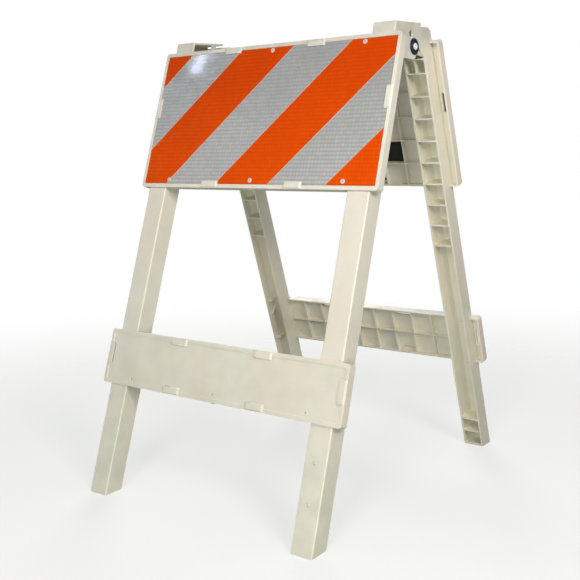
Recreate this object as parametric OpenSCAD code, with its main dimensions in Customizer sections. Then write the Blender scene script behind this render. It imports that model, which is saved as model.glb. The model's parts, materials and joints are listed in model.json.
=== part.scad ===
// Folding A-frame road barricade: two hinged halves, each with two channel legs,
// an upper board that carries a striped reflective panel, and a lower board.
// Frame: +X along the boards, -Y the front half's side, +Z up, origin on the
// ground midway between the feet, millimetres.
//
// Half coordinates: each half is drawn as (x, t, s). s runs down the leg from the
// hinge axis, t runs outward from the hinge axis towards the half's outer face.

/* [Overall] */
// Width of the boards along X
panel_w = 609.6; // [520:0.1:900]
// Height of the hinge axis above the ground
pivot_h = 889; // [840:1:1200]
// Lean of each half from vertical when it stands open, in degrees
tilt = 17.2; // [12:0.1:21]

/* [Legs] */
// Width of a leg along X, at its upper end
leg_w = 50.6; // [44:0.1:64]
// Growth of that width from the hinge down to the foot
leg_grow = 4; // [0:0.5:6]
// Depth of a leg, from its outer face to its open rim
leg_depth = 39.6; // [32:0.1:46]
// Distance from the hinge axis to a leg's outer face
leg_face = 74.7; // [62:0.1:90]
// Setback of a leg from the end of the boards
leg_inset = 20; // [12:0.5:30]
// Thickness of the leg's side walls
leg_wall = 4; // [3:0.1:5.5]
// Thickness of the leg's web, its outer face
leg_web = 4.7; // [3.5:0.1:6]
// Radius of the leg's long outer edges
leg_edge_r = 2.5; // [1:0.5:4]
// Sideways reach of the thickened corners inside the channel
corner_reach = 7.5; // [4:0.5:10]
// Distance down the channel at which those corners start
corner_start = 19; // [14:0.5:24]
// Thickness of the cross ribs inside the channel
rib_t = 2.6; // [2:0.1:4]
// Distance from the hinge axis to the first cross rib
rib_first = 60; // [56:1:66]
// Spacing of the cross ribs
rib_pitch = 46.7; // [40:0.1:52]
// Number of cross ribs behind and below the upper board
rib_count = 9; // [6:1:11]
// Height of the lower foot rib above the sole, along the leg
foot_rib = 50; // [35:1:70]
// Spacing of the two foot ribs
foot_rib_gap = 33; // [20:1:45]
// Sideways reach of the cleats behind the lower board
cleat_w = 9; // [6:0.5:12]
// Setback of those cleats from the leg's open rim
cleat_drop = 7; // [4:0.5:12]
// Thickness of the sole plate that closes the foot
sole = 5; // [3:0.5:8]

/* [Heads and hinge] */
// Height of the leg's head above the hinge axis, at its front corner
head_front = 42.4; // [38:0.1:50]
// Height of the front head above the hinge axis, at its back corner
head_back = 48; // [44:0.1:56]
// Reach of the front head's cheek behind the hinge axis
cheek_back = 12.3; // [11:0.1:16]
// Depth of the cheek below the hinge axis
cheek_low = 26; // [22:0.5:30]
// Radius of the cheek's lower back corner
cheek_r = 14; // [9:0.5:16]
// Depth below the cheek at which the channel starts
channel_drop = 8; // [4:0.5:14]
// Drop of the rear head's top below the front one's
head_step = 4; // [3:0.5:8]
// Size of the cut at the rear head's front corner
rear_cut = 8; // [4:0.5:12]
// Height of the rear head's back edge above the hinge axis
seam_reach = 8; // [6:0.5:12]
// Diameter of the hinge pin
pin_d = 9.5; // [8:0.1:12]
// Radial clearance between the pin and the turning lugs
pin_clear = 0.08; // [0.03:0.01:0.1]
// Side clearance between hinge lugs, and between the two heads
hinge_gap = 0.5; // [0.4:0.1:1]
// Thickness of a hinge lug
lug_t = 4; // [3:0.5:6]
// Outer radius of the turning lugs
lug_r = 13; // [11:0.5:14]
// Depth of a lug's root inside the leg's open rim
lug_reach = 7; // [5:0.5:10]
// Height of a lug's root above its eye
lug_rise = 9; // [6:0.5:11]
// Wall of the spacer tube between the lugs
tube_wall = 2.5; // [1.5:0.1:4]
// Width of the inner strap that holds the pin's far end
strap_w = 11.4; // [9:0.1:16]
// Outer radius of that strap's eye
strap_r = 11; // [9:0.5:13]
// Forward lean of the strap's top
strap_lean = 3.7; // [0:0.1:6]
// Diameter of the dark hinge cap
cap_d = 32; // [26:0.5:34]
// Thickness of the hinge cap
cap_t = 2.4; // [1.6:0.1:4]
// Bevel of the hinge cap's edge
cap_bevel = 1.2; // [0.6:0.1:1.4]
// Diameter of the pale hub on the pin's head
hub_d = 13; // [11:0.5:18]
// Height of the pin's head above the cap
hub_h = 2.2; // [1.5:0.1:4]
// Bevel of the pin's head
hub_bevel = 1.2; // [0.6:0.1:1.4]
// Crown of the pin's head
hub_crown = 0.4; // [0.1:0.1:1]
// Length of the pin's end beyond the push nut
pin_tail = 3; // [2:0.5:6]
// Diameter of the push nut on the pin's inner end
nut_d = 19; // [15:0.5:24]
// Thickness of the push nut
nut_t = 1.6; // [1:0.1:3]
// Width of the slope round the push nut's brim
nut_brim = 2; // [1:0.5:3]
// Rise of that slope
nut_rise = 0.6; // [0.3:0.1:0.9]
// Diameter of the hole that takes a warning light's bolt
light_hole_d = 13.5; // [11:0.1:16]
// Distance of that hole in front of the hinge axis
light_y = 11.3; // [9:0.1:14]
// Height of that hole above the hinge axis
light_z = 23.8; // [21:0.1:26]

/* [Boards] */
// How far the boards stand in front of the legs' outer face
board_proud = 4.4; // [3.5:0.1:7]
// Overall depth of a board, from its face to the back of its edge
board_depth = 18; // [14:0.5:22]
// Thickness of a board's edge and ribs
board_wall = 3.6; // [2.5:0.1:5]
// Thickness of the rib walls behind a board
board_rib = 2.4; // [1.8:0.1:3.5]
// How far those ribs stop short of the edge's back
rib_short = 2; // [1:0.5:4]
// Corner radius of a board
board_r = 6; // [3:0.5:10]
// Depth of the pocket in a board's face
pocket = 1.8; // [1.6:0.1:2.6]
// Width of the rim at a board's ends
rim_end = 7.2; // [6:0.1:10]
// Width of the rim along a board's long edges
rim_long = 8; // [6:0.1:10]
// Depth of the seat cut in the legs behind a board
seat = 1.7; // [1:0.1:2.2]
// Clearance around the legs where they pass a board's edge
leg_clear = 0.3; // [0.2:0.1:0.6]
// Distance from the hinge axis to the upper board's top edge
upper_top = 2.8; // [2.6:0.1:8]
// Height of the upper board
upper_h = 304.8; // [240:0.1:320]
// Distance from the hinge axis to the lower board's top edge
lower_top = 618.3; // [520:0.5:660]
// Height of the lower board
lower_h = 112.5; // [90:0.5:150]
// Number of rows of cells behind the upper board
upper_rows = 6; // [5:1:8]
// Number of rows of cells behind the lower board
lower_rows = 2; // [1:1:4]
// Spacing of the upright ribs behind the boards
upright_pitch = 52; // [40:1:60]
// Width of the moulding stub under a board's lower edge
stub_w = 6; // [4:0.5:12]
// Height of that stub
stub_h = 2; // [1:0.1:3]
// Width of a window behind the upper board
window_w = 84; // [60:1:90]
// Corner radius of those windows
window_r = 5; // [2:0.5:8]

/* [Panel and tabs] */
// Length of a retaining tab
tab_l = 45; // [35:0.5:60]
// Reach of a tab over the panel, from the board's edge
tab_reach = 14.5; // [12:0.5:20]
// How far a tab stands in front of the rim
tab_proud = 2; // [0.6:0.1:2.5]
// Length of the slope at each end of a tab
tab_slope = 4; // [1:0.5:6]
// Setback of a tab from the board's edge
tab_back = 1; // [0.5:0.1:2]
// Distance of the long edges' tabs from the middle of the board
tab_x = 108; // [80:1:130]
// Place of the upper board's end tabs, as a share of its height
upper_tab_share = 0.417; // [0.3:0.001:0.7]
// Place of the lower board's end tabs, as a share of its height
lower_tab_share = 0.45; // [0.4:0.001:0.6]
// Width of the tooling slot behind a tab
tab_slot = 7; // [5:0.5:9]
// Thickness of the backing panel
backing_t = 0.9; // [0.6:0.1:1.2]
// Thickness of the white reflective sheeting
sheet_t = 0.4; // [0.2:0.05:0.6]
// Thickness of the orange film
film_t = 0.15; // [0.1:0.05:0.2]
// Corner radius of the panel
panel_r = 1; // [0.5:0.5:4]
// Gap between the panel's edge and the rim
panel_gap = 0.6; // [0.3:0.1:1.5]
// Stripe width, square to the stripe
stripe = 98.7; // [80:0.1:110]
// Place of the first full orange stripe's left edge, from the panel's middle
stripe_start = -228.6; // [-260:0.1:-200]
// Diameter of the heads of the panel rivets
rivet_head_d = 10; // [8:0.5:12]
// Height of those heads
rivet_dome = 1.5; // [1:0.1:2]
// Diameter of the rivets' shanks
rivet_d = 4.8; // [4:0.1:6]
// Distance of the outer rivets from the middle of the board
rivet_x = 225; // [180:1:226]
// Distance of the rivets from the board's long edges
rivet_edge = 15.5; // [13:0.5:22]

/* [Hidden] */
$fn = 64;
eps = 0.01;
over = 10;
big = 3000;
IVORY = [0.86, 0.84, 0.78];
DARK = [0.10, 0.11, 0.16];
HUB = [0.90, 0.90, 0.88];
ZINC = [0.72, 0.72, 0.70];
BLACK = [0.04, 0.04, 0.045];
WHITE = [0.78, 0.78, 0.80];
ORANGE = [0.88, 0.29, 0.02];

x_out = panel_w / 2 - leg_inset;
x_in = x_out - leg_w;
x_mid = (x_out + x_in) / 2;
leg_rim = leg_face - leg_depth;
leg_floor = leg_face - leg_web;
leg_front = leg_face - leg_edge_r;
leg_run = (pivot_h + leg_face * sin(tilt)) / cos(tilt);
grow_angle = atan(leg_grow / leg_run);
board_face = leg_face + board_proud;
board_back = board_face - board_depth;
seat_t = leg_face - seat;
pocket_t = board_face - pocket;
upper_end = upper_top + upper_h;
lower_end = lower_top + lower_h;
pin_r = pin_d / 2;
lug_bore_r = pin_r + pin_clear;
tab_t = tab_proud + pocket - backing_t - sheet_t - film_t;
sheet_face = pocket_t + backing_t + sheet_t;
panel_l = panel_w - 2 * rim_end - 2 * panel_gap;
panel_h = upper_h - 2 * rim_long - 2 * panel_gap;
foot_ribs = [leg_run - foot_rib - foot_rib_gap, leg_run - foot_rib];
ribs = concat([for (i = [0 : rib_count - 1]) rib_first + i * rib_pitch], foot_ribs);
upright_x = [for (i = [-3.5 : 1 : 3.5]) i * upright_pitch];
rivet_xs = [-rivet_x, 0, rivet_x];
rivet_rows = [upper_top + rivet_edge, upper_end - rivet_edge];
lug_out = x_out - leg_wall - hinge_gap;
lug_in = x_in + leg_wall + hinge_gap;

// A point given by its distance in front of and above the hinge axis, as [t, s]
function front_ts(y, z) = [y * cos(tilt) + z * sin(tilt), y * sin(tilt) - z * cos(tilt)];
// A point of the front half's [t, s] plane, seen in the rear half's [t, s] plane
function other_half(t, s) = [-s * sin(2 * tilt) - t * cos(2 * tilt), s * cos(2 * tilt) - t * sin(2 * tilt)];

light_ts = front_ts(light_y, light_z);
head_top_s = (leg_face * sin(tilt) - head_front) / cos(tilt);
head_back_s = (-cheek_back * sin(tilt) - head_back) / cos(tilt);
seam_top = other_half(-cheek_back - hinge_gap, head_back_s + 2 * head_step);
seam_low = other_half(-cheek_back - hinge_gap, -seam_reach);
rear_top_s = head_top_s + head_step;
lug_root = leg_rim + lug_reach;
lug_top = -lug_r - lug_rise;

// Placing: (x, t, s) to the standing object
module front_half() { translate([0, 0, pivot_h]) rotate([180 - tilt, 0, 0]) children(); }
module rear_half() { mirror([0, 1, 0]) front_half() children(); }
module left_side() { mirror([1, 0, 0]) children(); }

// Solids drawn from flat outlines in half coordinates
module over_x(x0, x1) { translate([x0, 0, 0]) rotate([90, 0, 90]) linear_extrude(x1 - x0) children(); }
module over_t(t0, t1) { translate([0, t1, 0]) rotate([90, 0, 0]) linear_extrude(t1 - t0) children(); }
module over_s(s0, s1) { translate([0, 0, s0]) linear_extrude(s1 - s0) children(); }
module block(x0, x1, t0, t1, s0, s1) { translate([x0, t0, s0]) cube([x1 - x0, t1 - t0, s1 - s0]); }
module along_x(x0, x1, r) { translate([x0, 0, 0]) rotate([0, 90, 0]) cylinder(h = x1 - x0, r = r); }

// Flat rectangle with round corners, centred on X, from y0 to y1
module round_rect(w, y0, y1, r) {
    translate([-w / 2 + r, y0]) square([w - 2 * r, y1 - y0]);
    translate([-w / 2, y0 + r]) square([w, y1 - y0 - 2 * r]);
    for (x = [-w / 2 + r, w / 2 - r], y = [y0 + r, y1 - r]) translate([x, y]) circle(r);
}

// ---- Legs ----

// Cross-section of a leg's outside, wider than the leg on its inner side
module leg_outline(w) {
    r = leg_edge_r;
    translate([x_out - w, leg_rim]) square([w, leg_depth - r]);
    translate([x_out - w + r, leg_rim]) square([w - 2 * r, leg_depth]);
    for (x = [x_out - w + r, x_out - r]) translate([x, leg_face - r]) circle(r);
}

// Cross-section of the channel between the leg's side walls
module channel_outline(w) {
    left = x_out - w + leg_wall;
    right = x_out - leg_wall;
    turn = leg_rim + corner_start;
    polygon([[left, leg_rim - 1], [right, leg_rim - 1], [right, turn],
             [right - corner_reach, leg_floor], [left + corner_reach, leg_floor], [left, turn]]);
}

// Turns a piece about the leg's upper inner edge, so that the leg widens downward
module widened() { translate([x_in, 0, 0]) rotate([0, grow_angle, 0]) translate([-x_in, 0, 0]) children(); }

module leg_bar(s0, s1) {
    intersection() {
        over_s(s0, s1) leg_outline(leg_w + leg_grow + over);
        widened() translate([leg_w, 0, 0]) over_s(s0 - 1, s1 + 1) leg_outline(2 * leg_w);
    }
}

module leg_channel(s0, s1) {
    intersection() {
        over_s(s0, s1) channel_outline(leg_w + leg_grow + over);
        widened() translate([leg_w, 0, 0]) over_s(s0 - 1, s1 + 1) channel_outline(2 * leg_w);
    }
}

// Keeps what stands above height z when the half is open
module above(z) {
    intersection() {
        children();
        translate([0, 0, pivot_h]) translate([-big / 2, -big / 2, z - pivot_h]) cube([big, big, big]);
    }
}

// Shallow seats in the leg's face, where the two boards lie
module board_seats() {
    for (s = [[upper_top, upper_end], [lower_top, lower_end]])
        block(x_in - 2 * leg_grow - over, x_out + over, seat_t, leg_face + over, s[0], s[1]);
}

// Cleats in the channel behind the lower board's edges
module board_cleats() {
    wall = x_out - leg_wall + eps;
    for (s = [lower_top + board_wall, lower_end - board_wall])
        block(wall - cleat_w, wall, leg_rim + cleat_drop, leg_floor + eps, s - rib_t, s);
    low = lower_top + lower_h / 3;
    over_x(wall - cleat_w / 2, wall)
        polygon([[leg_rim + cleat_drop, low], [leg_floor, low - 3 * cleat_w], [leg_floor, low]]);
}

module leg_ribs() { for (s = ribs) leg_channel(s - rib_t / 2, s + rib_t / 2); }

// The plain part of a leg on the front half's right, from s0 to the ground
module leg_shaft(s0) {
    above(0) front_half() leg_bar(s0, leg_run + 3 * over);
}

module shaft_hollow(s0) { above(sole) front_half() leg_channel(s0, leg_run + 3 * over); }

// Outer wall of the front head, down to where it joins the leg's side wall
module cheek_outline() {
    polygon([[leg_front, head_top_s], [-cheek_back, head_back_s], [-cheek_back, cheek_low - cheek_r],
             [cheek_r - cheek_back, cheek_low], [leg_rim, cheek_low + leg_rim * tan(tilt)],
             [leg_front, cheek_low + leg_rim]]);
    translate([cheek_r - cheek_back, cheek_low - cheek_r]) circle(cheek_r);
}

// Top plate of the front head, as a band along the head's sloping top
module head_top_outline() {
    polygon([[leg_front, head_top_s], [-cheek_back, head_back_s],
             [-cheek_back, head_back_s + leg_wall], [leg_front, head_top_s + leg_wall]]);
}

// Inner strap of the front head, which hangs from the top plate to the pin
module strap_outline() {
    half = strap_w / 2;
    top = (head_front + head_back) / 2;
    polygon([front_ts(strap_lean + half, top), front_ts(strap_lean - half, top),
             front_ts(-half, 0), front_ts(half, 0)]);
    circle(strap_r);
}

module front_head() {
    over_x(x_out - leg_wall, x_out) cheek_outline();
    over_x(x_in, x_out - eps) head_top_outline();
    over_x(x_in, x_in + leg_wall) strap_outline();
    leg_web_top(head_top_s);
}

// Web of a leg between its head's top and the plain part of the leg
module leg_web_top(top) {
    intersection() {
        leg_bar(top, rib_first);
        block(x_in - over, x_out + over, leg_floor - eps, leg_face + over, top, rib_first);
    }
}

module front_right_leg_solid() {
    difference() {
        union() {
            difference() {
                leg_shaft(cheek_low + channel_drop);
                shaft_hollow(cheek_low);
            }
            front_half() {
                front_head();
                leg_ribs();
                leg_channel(cheek_low + channel_drop, cheek_low + channel_drop + rib_t);
                board_cleats();
            }
        }
        front_half() {
            board_seats();
            along_x(x_in - over, x_out + over, pin_r);
            translate([0, light_ts[0], light_ts[1]])
                along_x(x_out - 2 * leg_wall, x_out + over, light_hole_d / 2);
        }
    }
}

// Outer wall of the rear head: it closes against the front cheek's back edge
module rear_wall_outline() {
    polygon([[leg_front, rear_top_s], [leg_front - rear_cut, rear_top_s - rear_cut], seam_top, seam_low,
             [leg_rim, rib_first / 2], [leg_rim, rib_first], [leg_front, rib_first]]);
}

module rear_top_outline() {
    a = [leg_front, rear_top_s];
    b = [leg_front - rear_cut, rear_top_s - rear_cut];
    c = seam_top;
    polygon([a, b, c, c + [0, leg_wall], b + [-1, leg_wall], [leg_floor, rear_top_s + leg_wall],
             [leg_front, rear_top_s + leg_wall]]);
}

// Lug that turns on the pin, from its eye to the rear head
module lug_outline() {
    circle(lug_r);
    polygon([[lug_r * sin(tilt), -lug_r * cos(tilt)], [lug_root, lug_top], [leg_floor, -lug_r],
             [leg_floor, rib_first / 2], [lug_root, rib_first / 2],
             [lug_r * sin(tilt), lug_r * cos(tilt)]]);
}

// The part of a lug that is thickened to meet the leg's wall
module lug_foot_outline() {
    polygon([[lug_root, lug_top], [leg_floor, -lug_r],
             [leg_floor, rib_first / 2], [lug_root, rib_first / 2]]);
}

module rear_head() {
    over_x(x_out - leg_wall, x_out) rear_wall_outline();
    over_x(x_in, x_out - eps) rear_top_outline();
    over_x(lug_out - lug_t, lug_out) lug_outline();
    over_x(lug_in, lug_in + lug_t) lug_outline();
    over_x(lug_out - eps, x_out - leg_wall + eps) lug_foot_outline();
    leg_web_top(rear_top_s);
}

module rear_right_leg_solid() {
    difference() {
        union() {
            difference() {
                leg_shaft(rib_first / 2);
                shaft_hollow(rib_first / 2 - 1);
            }
            front_half() {
                rear_head();
                leg_ribs();
                leg_channel(rib_first / 2, rib_first / 2 + rib_t);
                block(x_mid - rib_t / 2, x_mid + rib_t / 2, leg_rim, leg_floor + eps,
                      rib_first / 2, rib_first);
                board_cleats();
            }
        }
        front_half() {
            board_seats();
            along_x(x_in - over, x_out + over, lug_bore_r);
        }
    }
}

// ---- Boards ----

// Walls behind a board's face: edge flange, cross ribs and uprights
module board_back_walls(top, h, rows) {
    difference() {
        over_t(board_back, seat_t + eps) round_rect(panel_w, top, top + h, board_r);
        over_t(board_back - 1, seat_t + 1)
            round_rect(panel_w - 2 * board_wall, top + board_wall, top + h - board_wall,
                       board_r - board_wall / 2);
    }
    for (i = [1 : rows - 1])
        block(-x_in + 1, x_in - 1, board_back + rib_short, seat_t + eps,
              top + i * h / rows - board_rib / 2, top + i * h / rows + board_rib / 2);
    for (x = upright_x)
        block(x - board_rib / 2, x + board_rib / 2, board_back + rib_short, seat_t + eps,
              top + board_wall / 2, top + h - board_wall / 2);
}

// Room for the legs behind a board
module leg_passage(top, h) {
    for (side = [-1, 1]) {
        lo = side > 0 ? x_in - leg_grow - leg_clear : -x_out - leg_clear;
        hi = side > 0 ? x_out + leg_clear : -x_in + leg_grow + leg_clear;
        block(lo, hi, board_back - 1, seat_t, top - 1, top + h + 1);
    }
}

// The four tabs on the long edges and the two on the ends; each hangs over the panel
module tab_places(top, h, share) {
    for (x = [-tab_x, tab_x]) {
        translate([x, 0, top]) children();
        translate([x, 0, top + h]) rotate([0, 180, 0]) children();
    }
    for (side = [-1, 1])
        translate([side * panel_w / 2, 0, top + h * share])
            rotate([0, side * 90, 0]) mirror([0, 0, 1]) children();
}

// Tab with sloping ends, its root on the rim and its lip over the panel
module tab() {
    base = board_face + tab_proud - tab_t;
    top = board_face + tab_proud;
    half = tab_l / 2;
    intersection() {
        over_x(-half, half)
            polygon([[base, tab_back], [base, tab_reach], [top, tab_reach], [top, tab_back + tab_proud],
                     [board_face, tab_back]]);
        over_s(0, tab_reach + 1)
            polygon([[-half, base - 1], [half, base - 1], [half, board_face], [half - tab_slope, top + eps],
                     [-half + tab_slope, top + eps], [-half, board_face]]);
    }
}

// Slot through the board behind a tab
module tab_cut() {
    half = tab_l / 2 - board_rib;
    block(-half, half, board_back - 1, pocket_t + 1, rim_long, rim_long + tab_slot);
}

// Board: face with a rim, pocket, tabs, and a ribbed back that steps over the legs
module board(top, h, rows, share) {
    difference() {
        union() {
            difference() {
                over_t(seat_t, board_face) round_rect(panel_w, top, top + h, board_r);
                over_t(pocket_t, board_face + 1)
                    round_rect(panel_w - 2 * rim_end, top + rim_long, top + h - rim_long, 1.5);
            }
            board_back_walls(top, h, rows);
            gate_stub(top + h);
        }
        leg_passage(top, h);
        tab_places(top, h, share) tab_cut();
    }
    tab_places(top, h, share) tab();
}

// Stub left by the mould's gate, under the middle of a board's lower edge
module gate_stub(end) {
    block(-stub_w / 2, stub_w / 2, board_back + board_depth / 3, board_face - board_depth / 3,
          end - eps, end + stub_h);
}

module rivet_holes(top, xs, r) {
    for (x = xs) translate([x, 0, top]) rotate([-90, 0, 0]) cylinder(h = 2 * board_face, r = r);
}

// Windows through the upper board, one cell high, next to the outer uprights
module back_windows() {
    cell = upper_h / upper_rows;
    for (side = [-1, 1]) translate([side * (3.5 * upright_pitch - window_w / 2 - board_rib), 0, 0])
        over_t(board_back - 1, board_face) round_rect(window_w, upper_top + 4 * cell + board_rib / 2,
                                                     upper_top + 5 * cell - board_rib / 2, window_r);
}

module upper_board() {
    difference() {
        board(upper_top, upper_h, upper_rows, upper_tab_share);
        for (s = rivet_rows) rivet_holes(s, rivet_xs, rivet_d / 2);
        back_windows();
    }
}

module lower_board() {
    difference() {
        board(lower_top, lower_h, lower_rows, lower_tab_share);
        rivet_holes(lower_end - rivet_edge, rivet_xs, rivet_d / 2);
    }
}

// ---- Striped panel ----

module panel_outline() {
    low = upper_end - rim_long - panel_gap;
    round_rect(panel_l, low - panel_h, low, panel_r);
}

module panel_layer(t0, t1) {
    difference() {
        over_t(t0, t1) panel_outline();
        for (s = rivet_rows) rivet_holes(s, rivet_xs, rivet_d / 2);
    }
}

// Slanted bands at 45 degrees that rise towards +X
module stripes() {
    mid = (upper_top + upper_end) / 2;
    step = stripe * sqrt(2);
    reach = panel_w;
    for (i = [-1 : 2]) {
        x = stripe_start + 2 * i * step;
        polygon([[x - reach, mid + reach], [x + step - reach, mid + reach],
                 [x + step + reach, mid - reach], [x + reach, mid - reach]]);
    }
}

module orange_film() {
    difference() {
        over_t(sheet_face, sheet_face + film_t) intersection() {
            panel_outline();
            stripes();
        }
        for (s = rivet_rows) rivet_holes(s, rivet_xs, rivet_d / 2);
    }
}

// Blind rivets along the panel's long edges
module panel_rivets() {
    head_base = sheet_face + film_t;
    for (x = rivet_xs, s = rivet_rows) translate([x, 0, s]) rotate([-90, 0, 0])
        rotate_extrude()
            polygon([[0, seat_t + eps], [rivet_d / 2, seat_t + eps], [rivet_d / 2, head_base],
                     [rivet_head_d / 2, head_base], [rivet_head_d / 2 - 1, head_base + rivet_dome / 2],
                     [0, head_base + rivet_dome]]);
}

// ---- Hinge hardware, drawn on the right ----

// Pin with a pale hub; its groove end passes the strap
module hinge_pin() {
    tail = x_in - nut_t - pin_tail;
    cap_face = x_out + cap_t;
    translate([0, 0, pivot_h]) rotate([0, 90, 0]) rotate_extrude()
        polygon([[0, tail], [pin_r - 1, tail], [pin_r, tail + 1], [pin_r, cap_face], [hub_d / 2, cap_face],
                 [hub_d / 2, cap_face + hub_h - hub_bevel], [hub_d / 2 - hub_bevel, cap_face + hub_h],
                 [0, cap_face + hub_h + hub_crown]]);
}

// Dark dished cap between the pin's head and the cheek
module hinge_cap() {
    translate([0, 0, pivot_h]) rotate([0, 90, 0]) rotate_extrude()
        polygon([[pin_r, x_out], [cap_d / 2, x_out], [cap_d / 2, x_out + cap_t - cap_bevel],
                 [cap_d / 2 - cap_bevel, x_out + cap_t], [pin_r, x_out + cap_t]]);
}

// Tube between the two turning lugs
module spacer_tube() {
    translate([0, 0, pivot_h]) rotate([0, 90, 0]) translate([0, 0, lug_in + lug_t]) difference() {
        cylinder(h = lug_out - lug_in - 2 * lug_t, r = pin_r + tube_wall);
        translate([0, 0, -1]) cylinder(h = x_out, r = lug_bore_r);
    }
}

module push_nut() {
    translate([0, 0, pivot_h]) rotate([0, 90, 0]) rotate_extrude()
        polygon([[pin_r, x_in - nut_t], [nut_d / 2 - nut_brim, x_in - nut_t],
                 [nut_d / 2, x_in - nut_t + nut_rise], [nut_d / 2, x_in], [pin_r, x_in]]);
}

// ---- Named pieces ----

module front_left_leg() { color(IVORY) left_side() front_right_leg_solid(); }
module front_right_leg() { color(IVORY) front_right_leg_solid(); }
module front_upper_board() { color(IVORY) front_half() upper_board(); }
module front_lower_board() { color(IVORY) front_half() lower_board(); }
module front_backing_panel() { color(BLACK) front_half() panel_layer(pocket_t, pocket_t + backing_t); }
module front_white_sheeting() { color(WHITE) front_half() panel_layer(pocket_t + backing_t, sheet_face); }
module front_orange_film() { color(ORANGE) front_half() orange_film(); }
module front_panel_rivets() { color(HUB) front_half() panel_rivets(); }
module rear_left_leg() { color(IVORY) left_side() mirror([0, 1, 0]) rear_right_leg_solid(); }
module rear_right_leg() { color(IVORY) mirror([0, 1, 0]) rear_right_leg_solid(); }
module rear_upper_board() { color(IVORY) rear_half() upper_board(); }
module rear_lower_board() { color(IVORY) rear_half() lower_board(); }
module rear_backing_panel() { color(BLACK) rear_half() panel_layer(pocket_t, pocket_t + backing_t); }
module rear_white_sheeting() { color(WHITE) rear_half() panel_layer(pocket_t + backing_t, sheet_face); }
module rear_orange_film() { color(ORANGE) rear_half() mirror([1, 0, 0]) orange_film(); }
module rear_panel_rivets() { color(HUB) rear_half() panel_rivets(); }
module left_hinge_pin() { color(HUB) left_side() hinge_pin(); }
module right_hinge_pin() { color(HUB) hinge_pin(); }
module left_hinge_cap() { color(DARK) left_side() hinge_cap(); }
module right_hinge_cap() { color(DARK) hinge_cap(); }
module left_spacer_tube() { color(ZINC) left_side() spacer_tube(); }
module right_spacer_tube() { color(ZINC) spacer_tube(); }
module left_push_nut() { color(ZINC) left_side() push_nut(); }
module right_push_nut() { color(ZINC) push_nut(); }

front_left_leg();
front_right_leg();
front_upper_board();
front_lower_board();
front_backing_panel();
front_white_sheeting();
front_orange_film();
front_panel_rivets();
rear_left_leg();
rear_right_leg();
rear_upper_board();
rear_lower_board();
rear_backing_panel();
rear_white_sheeting();
rear_orange_film();
rear_panel_rivets();
left_hinge_pin();
right_hinge_pin();
left_hinge_cap();
right_hinge_cap();
left_spacer_tube();
right_spacer_tube();
left_push_nut();
right_push_nut();
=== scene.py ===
"""Looks of a folding A-frame road barricade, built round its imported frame.

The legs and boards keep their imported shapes; here they get softened moulded edges and their finishes. The
rivets and the hinge fittings are turned as fresh meshes, and small moulding details are added. Lengths are in
metres; MM turns millimetres into them.
"""

import json
import logging
import math
from dataclasses import dataclass
from enum import Enum

import bmesh
import bpy
from mathutils import Matrix, Vector


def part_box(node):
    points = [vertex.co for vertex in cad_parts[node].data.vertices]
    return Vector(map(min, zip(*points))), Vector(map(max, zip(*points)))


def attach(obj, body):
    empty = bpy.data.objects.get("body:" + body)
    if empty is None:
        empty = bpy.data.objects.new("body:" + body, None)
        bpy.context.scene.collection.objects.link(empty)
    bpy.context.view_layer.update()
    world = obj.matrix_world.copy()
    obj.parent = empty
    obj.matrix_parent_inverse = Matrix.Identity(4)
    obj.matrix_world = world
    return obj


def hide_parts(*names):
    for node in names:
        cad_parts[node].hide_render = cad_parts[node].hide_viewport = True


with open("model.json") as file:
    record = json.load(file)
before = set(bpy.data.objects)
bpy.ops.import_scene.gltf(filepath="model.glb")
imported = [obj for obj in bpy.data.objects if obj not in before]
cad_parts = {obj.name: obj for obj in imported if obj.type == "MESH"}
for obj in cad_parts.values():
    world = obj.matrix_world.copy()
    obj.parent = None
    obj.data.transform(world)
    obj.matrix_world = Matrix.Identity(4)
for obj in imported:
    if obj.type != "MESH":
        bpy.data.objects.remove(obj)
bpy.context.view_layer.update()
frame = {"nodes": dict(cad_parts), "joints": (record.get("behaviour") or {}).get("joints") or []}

LOG = logging.getLogger("barricade")
MM = 0.001
# A vertex nearer the turning axis than this lies on it.
ON_AXIS = 1e-7

# Settings that many nodes share: a smooth step from one range to another, and a blend of two colours.
SMOOTH = {"interpolation_type": "SMOOTHSTEP"}
BLEND = {"data_type": "RGBA", "clamp_factor": True}
# Nearly all values of the cloudy noise lie between these.
NOISE_LOW, NOISE_HIGH = 0.3, 0.7
# How alike the softened and the true directions are where a corner starts to show, and where it is full.
FLAT_ALIKE, CORNER_ALIKE = 0.97, 0.80

Colour = tuple[float, float, float, float]
Point = tuple[float, float, float]
Pair = tuple[float, float]
Value = bpy.types.Node | bpy.types.NodeSocket | float | Colour | Point


class Side(Enum):
    """Which half of the barricade, by the sign of its outward Y."""

    FRONT = -1
    REAR = 1


class End(Enum):
    """Which end of the boards, by the sign of its X."""

    LEFT = -1
    RIGHT = 1


def linear(hex_colour: str) -> Colour:
    """Turns an sRGB hex colour into linear light.

    Args:
        hex_colour: six hex digits, red first.

    Returns:
        Red, green, blue and an alpha of 1.
    """
    parts = [int(hex_colour[i : i + 2], 16) / 255 for i in (0, 2, 4)]
    light = [c / 12.92 if c <= 0.04045 else ((c + 0.055) / 1.055) ** 2.4 for c in parts]
    return (light[0], light[1], light[2], 1.0)


def per_metre(size_mm: float) -> float:
    """Gives the texture scale at which a pattern's features have a real size in millimetres."""
    return 1 / (size_mm * MM)


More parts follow.
